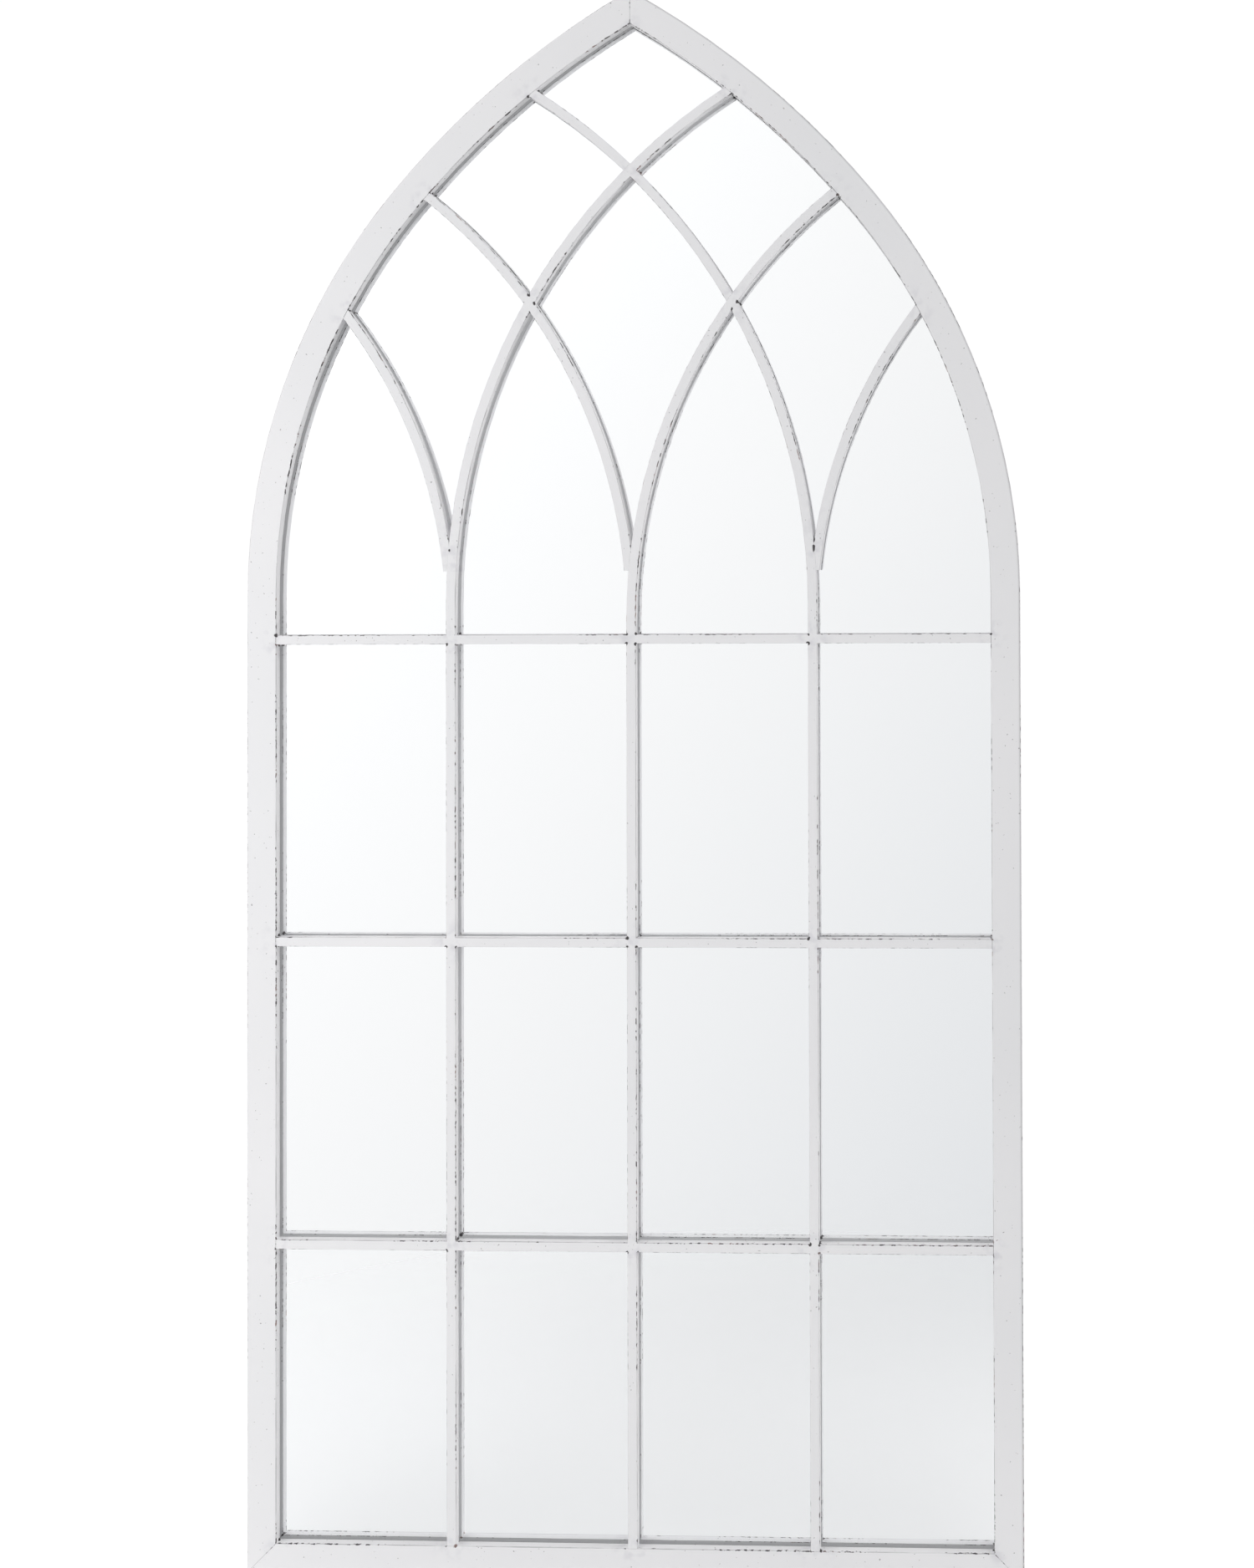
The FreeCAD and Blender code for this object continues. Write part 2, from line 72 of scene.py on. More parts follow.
FRONT = CAD_BOX[0].y
BACK = CAD_BOX[1].y
HALF_WIDTH = CAD_BOX[1].x
FACE_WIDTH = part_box("bottom_rail")[1].z
LIP_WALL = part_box("rear_lip_bottom")[1].z
CROSSBAR_LEVELS = [(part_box(name)[0].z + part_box(name)[1].z) / 2 for name in CROSSBARS]
HALF_BAR = (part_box("transom_upper")[1].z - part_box("transom_upper")[0].z) / 2
BAR_PITCH = -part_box("mullion_left")[0].x - HALF_BAR
TOE_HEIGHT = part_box("tracery_arc_left")[0].z

FAR = 1.0                   # a distance that stands for no edge or weld near
CLOSE = 1e-5                # points nearer than this are one
SQUARE_TO_WALL = 0.9        # fronts and backs look more squarely at the wall than this
WORN_AND_SHADED_OVER_KEPT = 2.4        # how much further in one edge of a face wears than the other, on the bars partly as painted shade
WORN_OVER_SEAM = 1.5        # how much further in an inner edge wears than a seam
ARC_STEPS = 48              # straight steps along each arc of the silvering

WHITE = (1.0, 1.0, 1.0)
COOL = (0.98, 0.994, 1.012)
WHITE_SEEN = 1.02           # brightness of the room where the camera looks straight at it

# Levels of the room go by how far a ray looks towards the wall: -1 in front, 1 behind.
# The screen in front, which the mirror shows, also changes by so much per unit right and up
SCREEN_MIDDLE, SCREEN_RIGHT, SCREEN_UP = 0.89, -0.50, 0.30
SCREEN_FROM, SCREEN_FULL = -0.62, -0.80
GAP_LEVEL = 0.35            # between the screen and the walls
ROOM_STEPS = (              # where a step starts, where it ends and the level from there
    (-0.50, -0.25, 1.50),   # walls in front of the mirror
    (-0.12, 0.02, 0.45),    # beside it, where more would burn out its outer sides
    (0.45, 0.80, 1.30),     # behind it
)

SOFTBOXES = (               # name, place, width and height, power
    ("key_light", (-1.3, -1.0, 0.95), (0.9, 1.5), 10.3),
    ("side_light", (4.0, -0.35, 1.0), (0.5, 2.5), 46.0),
    ("top_light", (0.0, -0.40, 4.6), (2.5, 0.5), 20.0),
)
SOFTBOX_AIM = (0.0, 0.0, 0.8)


# ---- settings -----------------------------------------------------------------------

def length(name, description, default):
    return FloatProperty(name=name, description=description, default=default,
                         min=0.0, unit="LENGTH", precision=4)


def colour(name, description, default):
    return FloatVectorProperty(name=name, description=description, default=default,
                               subtype="COLOR", size=3, min=0.0, max=1.0)


class MirrorSizes(bpy.types.PropertyGroup):
    """Curves of the frame and the bars, and the widths of the wear and of the painted shade line.
    """

    spring_height: length("Spring Height", "Bottom edge to where the arch begins", 1.005)
    lower_radius: length("Lower Radius", "Outer radius of the arch near its spring", 0.650)
    upper_radius: length("Upper Radius", "Outer radius of the arch near its point", 0.900)
    lower_sweep: FloatProperty(name="Lower Sweep", description="Turn of the lower radius",
                               default=math.radians(39.5), subtype="ANGLE")
    tall_arc_radius: length("Tall Arc Radius", "Middle line of the outer mullions' arcs", 0.625)
    tall_arc_drop: length("Tall Arc Drop", "Spring line down to their bend", 0.008)
    centre_arc_radius: length("Centre Arc Radius", "Middle line of the centre arcs", 0.560)
    centre_arc_drop: length("Centre Arc Drop", "Spring line down to their bend", 0.025)
    side_arc_radius: length("Side Arc Radius", "Middle line of the side arcs", 0.525)
    side_arc_drop: length("Side Arc Drop", "Spring line down to their bend", 0.029)
    face_wear: length("Face Wear", "How far bare edges reach over the front", 0.0009)
    side_wear: length("Side Wear", "How far bare edges reach down the sides", 0.0026)
    weld_reach: length("Weld Reach", "How far wear gathers round a weld", 0.022)
    # Painted shade: the width of the grey line that darkens the outer edge of the frame's right
    # half
    grey_line: length("Grey Line", "Width of the line along the outer right edge", 0.0026)
    silver_depth: length("Silver Depth", "Back of the glass to the silvering", 0.0001)
    silver_rim: length("Silver Rim", "Edge of the glass to the silvering", 0.0002)
    silver_film: FloatProperty(name="Silver Film", description="Thickness of the silvering",
                               default=0.00005, min=0.0, unit="LENGTH", precision=5)


class MirrorColours(bpy.types.PropertyGroup):
    """Base colours of the finishes."""

    paint: colour("Paint", "White paint", (0.760, 0.752, 0.760))
    thin_paint: colour("Thin Paint", "White paint where the coat is thinner", (0.727, 0.724, 0.733))
    smudge: colour("Smudge", "Grey film on the paint round the welds", (0.52, 0.51, 0.55))
    # The rubbed grey is also the colour of the painted shade line on the frame's outer right edge
    rubbed: colour("Rubbed Edge", "Grey where an edge is rubbed but not bare", (0.30, 0.29, 0.30))
    bare_steel: colour("Bare Steel", "Dark steel where the paint is gone", (0.055, 0.05, 0.052))
    rust: colour("Rust", "Dull pink-brown rust", (0.26, 0.185, 0.17))
    silver: colour("Silver", "Silvering behind the glass", (0.965, 0.972, 0.98))
    glass: colour("Glass", "Clear glass", (0.988, 0.994, 0.996))
    tape: colour("Tape", "Foam tape", (0.03, 0.03, 0.032))
    board: colour("Board", "Fibreboard", (0.23, 0.135, 0.07))
    board_dark: colour("Board Fibres", "Darker fibres in the board", (0.12, 0.065, 0.032))
    zinc: colour("Zinc", "Plated sheet steel", (0.58, 0.59, 0.60))
    floor: colour("Floor", "Pale studio floor", (0.80, 0.80, 0.80))


# ---- node helpers -------------------------------------------------------------------

class Graph:
    """A node tree, with short calls for the nodes that the finishes are made of."""

    def __init__(self, tree):
        self.tree = tree

    def add(self, kind, **settings):
        node = self.tree.nodes.new(f"ShaderNode{kind}")
        for name, value in settings.items():
            setattr(node, name, value)
        return node

    def plug(self, socket, value):
        if isinstance(value, bpy.types.NodeSocket):
            self.tree.links.new(value, socket)
        else:
            socket.default_value = value

    def maths(self, operation, *values, clamp=False):
        node = self.add("Math", operation=operation, use_clamp=clamp)
        for socket, value in zip(node.inputs, values):
            self.plug(socket, value)
        return node.outputs[0]

    def lowest(self, first, *others):
        for other in others:
            first = self.maths("MINIMUM", first, other)
        return first

    def highest(self, first, *others):
        for other in others:
            first = self.maths("MAXIMUM", first, other)
        return first

    def reach(self, across, along):
        """Length of the vector (across, along)."""
        squares = self.maths("MULTIPLY_ADD", across, across,
                             self.maths("MULTIPLY", along, along))
        return self.maths("SQRT", squares)

    def either(self, choice, when_zero, when_one):
        """One of two values, by a choice of 0 or 1."""
        difference = self.maths("SUBTRACT", when_one, when_zero)
        return self.maths("MULTIPLY_ADD", choice, difference, when_zero)

    def fade(self, value, start, stop, low=0.0, high=1.0):
        """Goes smoothly from low to high as the value goes from start to stop."""
        node = self.add("MapRange", interpolation_type="SMOOTHSTEP")
        self.plug(node.inputs["Value"], value)
        self.plug(node.inputs["From Min"], start)
        self.plug(node.inputs["From Max"], stop)
        self.plug(node.inputs["To Min"], low)
        self.plug(node.inputs["To Max"], high)
        return node.outputs["Result"]

    def noise(self, vector, scale, detail=2.0):
        """Cloudy values round 0.5. The scale is about how many clouds there are to a metre."""
        node = self.add("TexNoise")
        self.plug(node.inputs["Vector"], vector)
        self.plug(node.inputs["Scale"], scale)
        self.plug(node.inputs["Detail"], detail)
        return node.outputs["Fac"]

    def stretched(self, vector, scale):
        """A position scaled along each axis. What is read from it stretches the other way."""
        node = self.add("Mapping")
        self.plug(node.inputs["Vector"], vector)
        self.plug(node.inputs["Scale"], scale)
        return node.outputs["Vector"]

    def blend(self, factor, first, second):
        """Mixes two colours, of which the second is there at a factor of 1."""
        node = self.add("Mix", data_type="RGBA")
        self.plug(node.inputs["Factor"], factor)
        for name, value in (("A", first), ("B", second)):
            socket = next(s for s in node.inputs if s.name == name and s.type == "RGBA")
            self.plug(socket, value if isinstance(value, bpy.types.NodeSocket) else rgba(value))
        return next(s for s in node.outputs if s.type == "RGBA")

    def position(self):
        return self.add("TexCoord").outputs["Object"]

    def axes(self, vector):
        node = self.add("SeparateXYZ")
        self.plug(node.inputs[0], vector)
        return node.outputs

    def bump(self, height, distance):
        node = self.add("Bump")
        self.plug(node.inputs["Height"], height)
        node.inputs["Distance"].default_value = distance
        return node.outputs["Normal"]

    def group(self, tree, **inputs):
        node = self.add("Group", node_tree=tree)
        for name, value in inputs.items():
            self.plug(node.inputs[name.replace("_", " ").title()], value)
        return node.outputs


def rgba(values):
    return (*values, 1.0)


def new_group(name, inputs, outputs):
    """An empty node group, whose sockets are given as names and kinds, and its two ends."""
    tree = bpy.data.node_groups.new(name, "ShaderNodeTree")
    for direction, sockets in (("INPUT", inputs), ("OUTPUT", outputs)):
        for socket, kind in sockets:
            tree.interface.new_socket(socket, in_out=direction,
                                      socket_type=f"NodeSocket{kind}")
    graph = Graph(tree)
    entry = tree.nodes.new("NodeGroupInput")
    leave = tree.nodes.new("NodeGroupOutput")
    return graph, entry.outputs, leave.inputs


def new_material(name):
    """A material and its shader's inputs."""
    material = bpy.data.materials.new(name)
    material.use_nodes = True
    shader = material.node_tree.nodes["Principled BSDF"]
    return material, Graph(material.node_tree), shader.inputs


def finish_nodes(names, material):
    """Puts a material on CAD nodes, in their own slots."""
    for name in names:
        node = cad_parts[name]
        node.data.materials.clear()
        node.data.materials.append(material)


def new_object(context, name, mesh):
    """Makes an object at the origin of a finished mesh."""
    data = bpy.data.meshes.new(name)
    mesh.to_mesh(data)
    mesh.free()
    piece = bpy.data.objects.new(name, data)
    context.scene.collection.objects.link(piece)
    return piece


def verts_of(geometry):
    return [item for item in geometry if isinstance(item, bmesh.types.BMVert)]


# ---- where the edges are --------------------------------------------------------------

def arch_centres(sizes):
    """Centres, as x and z, of the lower and the upper arc of the left half of the arch."""
    step = sizes.upper_radius - sizes.lower_radius
    low_x = sizes.lower_radius - HALF_WIDTH
    high_x = low_x + step * math.cos(sizes.lower_sweep)
    high_z = sizes.spring_height - step * math.sin(sizes.lower_sweep)
    return (low_x, sizes.spring_height), (high_x, high_z)


def frame_inset_group(sizes):
    """Distance in from the frame's outer outline: upright, two arcs and the bottom."""
    found = bpy.data.node_groups.get("FrameInset")
    if found:
        return found
    graph, entry, leave = new_group("FrameInset", [("Position", "Vector")],
                                    [("Inset", "Float")])
    x, _, z = graph.axes(entry["Position"])
    across = graph.maths("ABSOLUTE", x)
    low_centre, high_centre = arch_centres(sizes)

    def to_arc(radius, centre_x, centre_z):
        """How far inside an arc of the arch, whose right half mirrors the left one."""
        distance = graph.reach(graph.maths("ADD", across, centre_x),
                               graph.maths("SUBTRACT", z, centre_z))
        return graph.maths("SUBTRACT", radius, distance)

    upright = graph.maths("SUBTRACT", HALF_WIDTH, across)
    lower = to_arc(sizes.lower_radius, *low_centre)
    upper = to_arc(sizes.upper_radius, *high_centre)
    rise = graph.maths("SUBTRACT", z, sizes.spring_height)
    shoulder = graph.maths("MULTIPLY", graph.maths("ADD", across, low_centre[0]),
                           math.tan(sizes.lower_sweep))
    arched = graph.either(graph.maths("GREATER_THAN", rise, shoulder), lower, upper)
    side = graph.either(graph.maths("GREATER_THAN", rise, 0.0), upright, arched)
    graph.plug(leave["Inset"], graph.lowest(side, z))
    return graph.tree


def bar_offset_group(sizes):
    """Distances to the middle lines of the nearest window bar and of the next nearest.

    The side is the nearest one's distance again, less than zero on its left or lower side.
    """
    found = bpy.data.node_groups.get("BarOffset")
    if found:
        return found
    graph, entry, leave = new_group(
        "BarOffset", [("Position", "Vector")],
        [("Offset", "Float"), ("Next Offset", "Float"), ("Side", "Float")])
    x, _, z = graph.axes(entry["Position"])
    across = graph.maths("ABSOLUTE", x)
    half = graph.maths("SIGN", x)

    def past_curve(middle, way, radius, bend_height):
        """How far outwards of an arc that bends outwards (1) or inwards (-1)."""
        distance = graph.reach(graph.maths("SUBTRACT", across, middle + way * radius),
                               graph.maths("SUBTRACT", z, bend_height))
        return graph.maths("MULTIPLY", graph.maths("SUBTRACT", radius, distance), way)

    # The window is the same on both sides, so its right half stands for the whole
    sides = []
    for middle, way, radius, drop in (
            (BAR_PITCH, -1, sizes.tall_arc_radius, sizes.tall_arc_drop),
            (-BAR_PITCH, 1, sizes.tall_arc_radius, sizes.tall_arc_drop),
            (0.0, 1, sizes.centre_arc_radius, sizes.centre_arc_drop)):
        bend_height = sizes.spring_height - drop
        past = graph.either(graph.maths("GREATER_THAN", z, bend_height),
                            graph.maths("SUBTRACT", across, middle),
                            past_curve(middle, way, radius, bend_height))
        sides.append(graph.maths("MULTIPLY", past, half))
    side_arc = past_curve(BAR_PITCH, 1, sizes.side_arc_radius,
                          sizes.spring_height - sizes.side_arc_drop)
    sides.append(graph.either(graph.maths("GREATER_THAN", z, TOE_HEIGHT), FAR,
                              graph.maths("MULTIPLY", side_arc, half)))
    sides += [graph.maths("SUBTRACT", z, level) for level in CROSSBAR_LEVELS]

    side, following = sides[0], FAR
    nearest = graph.maths("ABSOLUTE", side)
    for other in sides[1:]:
        offset = graph.maths("ABSOLUTE", other)
        side = graph.either(graph.maths("LESS_THAN", offset, nearest), side, other)
        following = graph.lowest(following, graph.maths("MAXIMUM", nearest, offset))
        nearest = graph.lowest(nearest, offset)
    graph.plug(leave["Offset"], nearest)
    graph.plug(leave["Next Offset"], following)
    graph.plug(leave["Side"], side)
    return graph.tree


def facing_wall(graph):
    """How squarely a face looks at the wall, from -1 on the front to 1 on the back."""
    return graph.axes(graph.add("NewGeometry").outputs["True Normal"])[1]


def by_face(graph, on_face, on_side):
    """One value on faces square to the wall, another on faces that run towards it."""
    square = graph.maths("GREATER_THAN", graph.maths("ABSOLUTE", facing_wall(graph)),
                         SQUARE_TO_WALL)
    return graph.either(square, on_side, on_face)


# ---- finishes -------------------------------------------------------------------------

def worn_paint_group(colours):
    """White paint, worn off in dashes along edges and pitted at the welds, and greyed along a
    painted shade line where one is given.
    """
    found = bpy.data.node_groups.get("WornPaint")
    if found:
        return found
    graph, entry, leave = new_group(
        "WornPaint",
        [("Position", "Vector"), ("Edge", "Float"), ("Width", "Float"),
         ("Weld", "Float"), ("Weld Reach", "Float"), ("Grey Line", "Float")],
        [("Colour", "Color"), ("Roughness", "Float"), ("Height", "Float")])
    place = entry["Position"]
    near_weld = graph.fade(entry["Weld"], entry["Weld Reach"], 0.0)

    # Bare edges: dashes, more of them on long stretches here and there and near welds
    stretch = graph.fade(graph.noise(place, 8.5, 1.0), 0.44, 0.58)
    dash = graph.noise(place, 170.0, 3.0)
    wanted = graph.maths("MULTIPLY_ADD", near_weld, 0.45, stretch, clamp=True)
    limit = graph.maths("MULTIPLY_ADD", wanted, -0.17, 0.67)
    worn = graph.fade(dash, limit, graph.maths("ADD", limit, 0.04))
    width = graph.maths("MULTIPLY", entry["Width"],
                        graph.fade(graph.noise(place, 420.0), 0.3, 0.7, 0.5, 1.2))
    edge_bare = graph.maths("MULTIPLY", worn,
                            graph.fade(entry["Edge"], width,
                                       graph.maths("MULTIPLY", width, 0.6)))

    # Rubbed edges: a grey that comes and goes, but doesn't reach the steel. The painted shade line
    # is laid in the same grey
    rub_and_shade = graph.maths("MULTIPLY",
                      graph.fade(entry["Edge"], graph.maths("MULTIPLY", entry["Width"], 0.8),
                                 0.0),
                      graph.fade(graph.noise(place, 24.0, 3.0), 0.35, 0.62, 0.25, 0.8))
    # Painted shade: the grey line that darkens the frame's outer right edge joins the rubbed grey
    rub_and_shade = graph.highest(rub_and_shade, entry["Grey Line"])

    # Pits close to the welds, and small specks anywhere
    pit_size = graph.fade(graph.noise(place, 130.0, 1.0), 0.48, 0.66, 0.0, 0.0026)
    pit = graph.fade(entry["Weld"], pit_size, graph.maths("MULTIPLY", pit_size, 0.6))
    speck = graph.maths("MULTIPLY", graph.fade(graph.noise(place, 330.0, 1.0), 0.735, 0.77),
                        0.6)
    bare = graph.highest(edge_bare, pit, speck)

    # Colours, from the paint down to the steel
    paint = graph.blend(graph.fade(graph.noise(place, 3.0, 3.0), 0.3, 0.7),
                        colours.thin_paint, colours.paint)
    film = graph.maths("MULTIPLY", near_weld,
                       graph.fade(graph.noise(place, 90.0, 2.0), 0.45, 0.7, 0.0, 0.45))
    painted = graph.blend(rub_and_shade, graph.blend(film, paint, colours.smudge), colours.rubbed)
    steel = graph.blend(graph.fade(graph.noise(place, 40.0, 2.0), 0.55, 0.72),
                        colours.bare_steel, colours.rust)
    graph.plug(leave["Colour"], graph.blend(bare, painted, steel))
    graph.plug(leave["Roughness"], graph.either(
        bare, graph.fade(graph.noise(place, 25.0, 3.0), 0.3, 0.7, 0.38, 0.52), 0.75))
    relief = graph.maths("MULTIPLY_ADD", graph.noise(place, 260.0, 2.0), 0.25,
                         graph.maths("MULTIPLY", bare, -1.0))
    graph.plug(leave["Height"], relief)
    return graph.tree


def painted_steel(name, sizes, colours, edges, backlight=0.0):
    """Worn paint on pieces whose edge and weld distances and painted shade line come from a
    function.

    The backlight is painted light: the paint glows on the faces that don't look away from
    the mirror, the outer half of the frame aside, standing in for the light that the mirror
    throws on them.
    """
    material, graph, shader = new_material(name)
    place = graph.position()
    edge, weld, line = edges(graph, place)
    width = by_face(graph, sizes.face_wear, sizes.side_wear)
    finish = graph.group(worn_paint_group(colours), position=place, edge=edge, width=width,
                         weld=weld, weld_reach=sizes.weld_reach, grey_line=line)
    graph.plug(shader["Base Color"], finish["Colour"])
    graph.plug(shader["Roughness"], finish["Roughness"])
    graph.plug(shader["Normal"], graph.bump(finish["Height"], 0.00008))
    # Painted light: inner faces glow in the paint's colour, half on the sides and fully on the
    # back, standing in for light off the mirror
    if backlight:
        shader["Emission Strength"].default_value = 1.0
        inset = graph.group(frame_inset_group(sizes), position=place)["Inset"]
        lit = graph.maths("MULTIPLY", graph.maths("GREATER_THAN", inset, FACE_WIDTH / 2),
                          graph.fade(facing_wall(graph), -1.0, 1.0))
        graph.plug(shader["Emission Color"],
                   graph.blend(graph.maths("MULTIPLY", lit, backlight), (0.0, 0.0, 0.0),
                               finish["Colour"]))
    return material


def uneven(graph, worn, kept):
    """One distance from two edges, of which the first wears further in than the second. On the bars
    the first is their right and upper edges, so what reaches further there is partly painted shade.
    """
    return graph.lowest(worn, graph.maths("MULTIPLY", kept, WORN_AND_SHADED_OVER_KEPT))


def frame_edges(sizes):
    """Edge and weld distances on the tube, and the painted shade line along its outer right edge.
    """
    def edges(graph, place):
        x, y, z = graph.axes(place)
        across = graph.maths("ABSOLUTE", x)
        inset = graph.group(frame_inset_group(sizes), position=place)["Inset"]
        offset = graph.group(bar_offset_group(sizes), position=place)["Offset"]
        into_bar = graph.maths("SUBTRACT", HALF_BAR, offset)
        to_inner = graph.maths("SUBTRACT", FACE_WIDTH, inset)
        inner = graph.highest(to_inner, into_bar)
        to_end = graph.maths("SUBTRACT", HALF_WIDTH, across)
        on_rail = graph.maths("LESS_THAN", z, to_end)
        on_right = graph.maths("SUBTRACT", graph.maths("GREATER_THAN", x, 0.0), on_rail,
                               clamp=True)

        # The tubes meet in a mitre at each foot, and in an upright seam at the point
        mitre = graph.maths("ABSOLUTE", graph.maths("SUBTRACT", to_end, z))
        below_arch = graph.maths("LESS_THAN", z, sizes.spring_height)
        point = graph.maths("MULTIPLY_ADD", below_arch, FAR, across)
        seam = graph.lowest(mitre, point)
        on_face = graph.lowest(uneven(graph, inner, inset),
                               graph.maths("MULTIPLY", seam, WORN_OVER_SEAM))
        # Painted shade: the outer side of the frame's right half, and a strip of its front along
        # that edge, turn grey, 0.6 strong at the edge; the bottom rail is left out
        line = graph.maths("MULTIPLY", on_right,
                           graph.fade(inset, sizes.grey_line, 0.0, 0.0, 0.6))
        weld = graph.lowest(graph.reach(to_inner, into_bar), graph.reach(to_inner, seam))
        return by_face(graph, on_face, graph.maths("SUBTRACT", y, FRONT)), weld, line
    return edges


def bar_edges(sizes):
    """Edge and weld distances on the bars, which read as one flush lattice."""
    def edges(graph, place):
        _, y, _ = graph.axes(place)
        inset = graph.group(frame_inset_group(sizes), position=place)["Inset"]
        bars = graph.group(bar_offset_group(sizes), position=place)
        to_edge = graph.maths("SUBTRACT", HALF_BAR, bars["Offset"])
        # Painted shade with the wear: on the front, grey and bare dashes reach further in from each
        # bar's right and upper edges than from its left and lower ones
        on_face = uneven(graph, graph.maths("SUBTRACT", HALF_BAR, bars["Side"]), to_edge)
        crossing = graph.reach(to_edge, graph.maths("SUBTRACT", HALF_BAR,
                                                    bars["Next Offset"]))
        at_frame = graph.reach(to_edge, graph.maths("SUBTRACT", inset, FACE_WIDTH))
        weld = graph.lowest(crossing, at_frame)
        return by_face(graph, on_face, graph.maths("SUBTRACT", y, FRONT)), weld, 0.0
    return edges


def lip_edges(sizes):
    """Edge distances on the strip behind the tube. It has no welds in view."""
    def edges(graph, place):
        _, y, _ = graph.axes(place)
        inset = graph.group(frame_inset_group(sizes), position=place)["Inset"]
        on_back = graph.lowest(inset, graph.maths("SUBTRACT", LIP_WALL, inset))
        return by_face(graph, on_back, graph.maths("SUBTRACT", BACK, y)), FAR, 0.0
    return edges


def strap_edges():
    """Edge distances on the hanging strap: its two long edges."""
    low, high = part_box("hanging_strap")

    def edges(graph, place):
        z = graph.axes(place)[2]
        to_edge = graph.lowest(graph.maths("SUBTRACT", z, low.z),
                               graph.maths("SUBTRACT", high.z, z))
        return to_edge, FAR, 0.0
    return edges


def clear_glass(colours):
    """Float glass with a trace of dust."""
    material, graph, shader = new_material("float_glass")
    place = graph.position()
    shader["Transmission Weight"].default_value = 1.0
    shader["IOR"].default_value = 1.5
    graph.plug(shader["Base Color"],
               graph.blend(graph.noise(place, 2.0), colours.glass, WHITE))
    graph.plug(shader["Roughness"], graph.fade(graph.noise(place, 500.0), 0.70, 0.78,
                                               0.0, 0.12))
    return material


def silvering(colours):
    """Silver film, very slightly uneven."""
    material, graph, shader = new_material("silvering")
    place = graph.position()
    shader["Metallic"].default_value = 1.0
    graph.plug(shader["Base Color"],
               graph.blend(graph.noise(place, 4.0), colours.silver, (0.96, 0.966, 0.972)))
    graph.plug(shader["Roughness"], graph.fade(graph.noise(place, 30.0), 0.4, 0.7,
                                               0.0, 0.004))
    return material


def foam(colours):
    """Dark closed-cell foam."""
    material, graph, shader = new_material("foam_tape")
    place = graph.position()
    cells = graph.noise(place, 1400.0, 3.0)
    graph.plug(shader["Base Color"], graph.blend(cells, colours.tape, (0.09, 0.09, 0.09)))
    graph.plug(shader["Roughness"], graph.fade(cells, 0.2, 0.8, 0.8, 1.0))
    graph.plug(shader["Normal"], graph.bump(cells, 0.0002))
    return material


def fibreboard(colours):
    """Brown pressed board with fibres and the print of the screen it was pressed on."""
    material, graph, shader = new_material("fibreboard")
    place = graph.position()
    fibres = graph.noise(graph.stretched(place, (1.0, 1.0, 0.35)), 700.0, 4.0)
    cloud = graph.noise(place, 6.0, 3.0)
    mottle = graph.maths("MULTIPLY_ADD", cloud, 0.5, graph.maths("MULTIPLY", fibres, 0.6))
    graph.plug(shader["Base Color"], graph.blend(graph.fade(mottle, 0.35, 0.75),
                                                 colours.board_dark, colours.board))
    graph.plug(shader["Roughness"], graph.fade(fibres, 0.3, 0.7, 0.72, 0.9))
    x, _, z = graph.axes(place)
    screen_pitch = 0.0016
    threads = [graph.maths("SINE", graph.maths("MULTIPLY", axis, 2 * math.pi / screen_pitch))
               for axis in (x, z)]
    screen = graph.maths("MULTIPLY", *threads)
    graph.plug(shader["Normal"], graph.bump(
        graph.maths("MULTIPLY_ADD", screen, 0.4, fibres), 0.00015))
    return material


def zinc_sheet(colours):
    """Plated sheet with faint spangles."""
    material, graph, shader = new_material("zinc_sheet")
    place = graph.position()
    spangle = graph.add("TexVoronoi")
    graph.plug(spangle.inputs["Vector"], place)
    spangle.inputs["Scale"].default_value = 260.0
    shade = graph.axes(spangle.outputs["Color"])[0]
    shader["Metallic"].default_value = 1.0
    graph.plug(shader["Base Color"], graph.blend(shade, colours.zinc, (0.70, 0.71, 0.73)))
    graph.plug(shader["Roughness"], graph.fade(shade, 0.0, 1.0, 0.32, 0.5))
    return material


# ---- operators ------------------------------------------------------------------------

class MIRROR_OT_paint_frame(bpy.types.Operator):
    """Paint the tube of the frame and the lip behind it"""

    bl_idname = "mirror.paint_frame"
    bl_label = "Paint Frame"

    def execute(self, context):
        sizes, colours = context.scene.mirror_sizes, context.scene.mirror_colours
        # The tubes' backlight is painted light, a glow on their inner faces
        finish_nodes(FRAME_TUBES, painted_steel("frame_paint", sizes, colours,
                                                frame_edges(sizes), backlight=0.28))
        finish_nodes(REAR_LIPS, painted_steel("lip_paint", sizes, colours, lip_edges(sizes)))
        return {"FINISHED"}


class MIRROR_OT_paint_bars(bpy.types.Operator):
    """Paint the crossbars, the mullions and the tracery"""

    bl_idname = "mirror.paint_bars"
    bl_label = "Paint Window Bars"

    def execute(self, context):
        sizes, colours = context.scene.mirror_sizes, context.scene.mirror_colours
        # The bars' backlight is painted light, a glow on their sides and backs
        finish_nodes(CROSSBARS + MULLIONS + TRACERY,
                     painted_steel("bar_paint", sizes, colours, bar_edges(sizes),
                                   backlight=0.32))
        return {"FINISHED"}


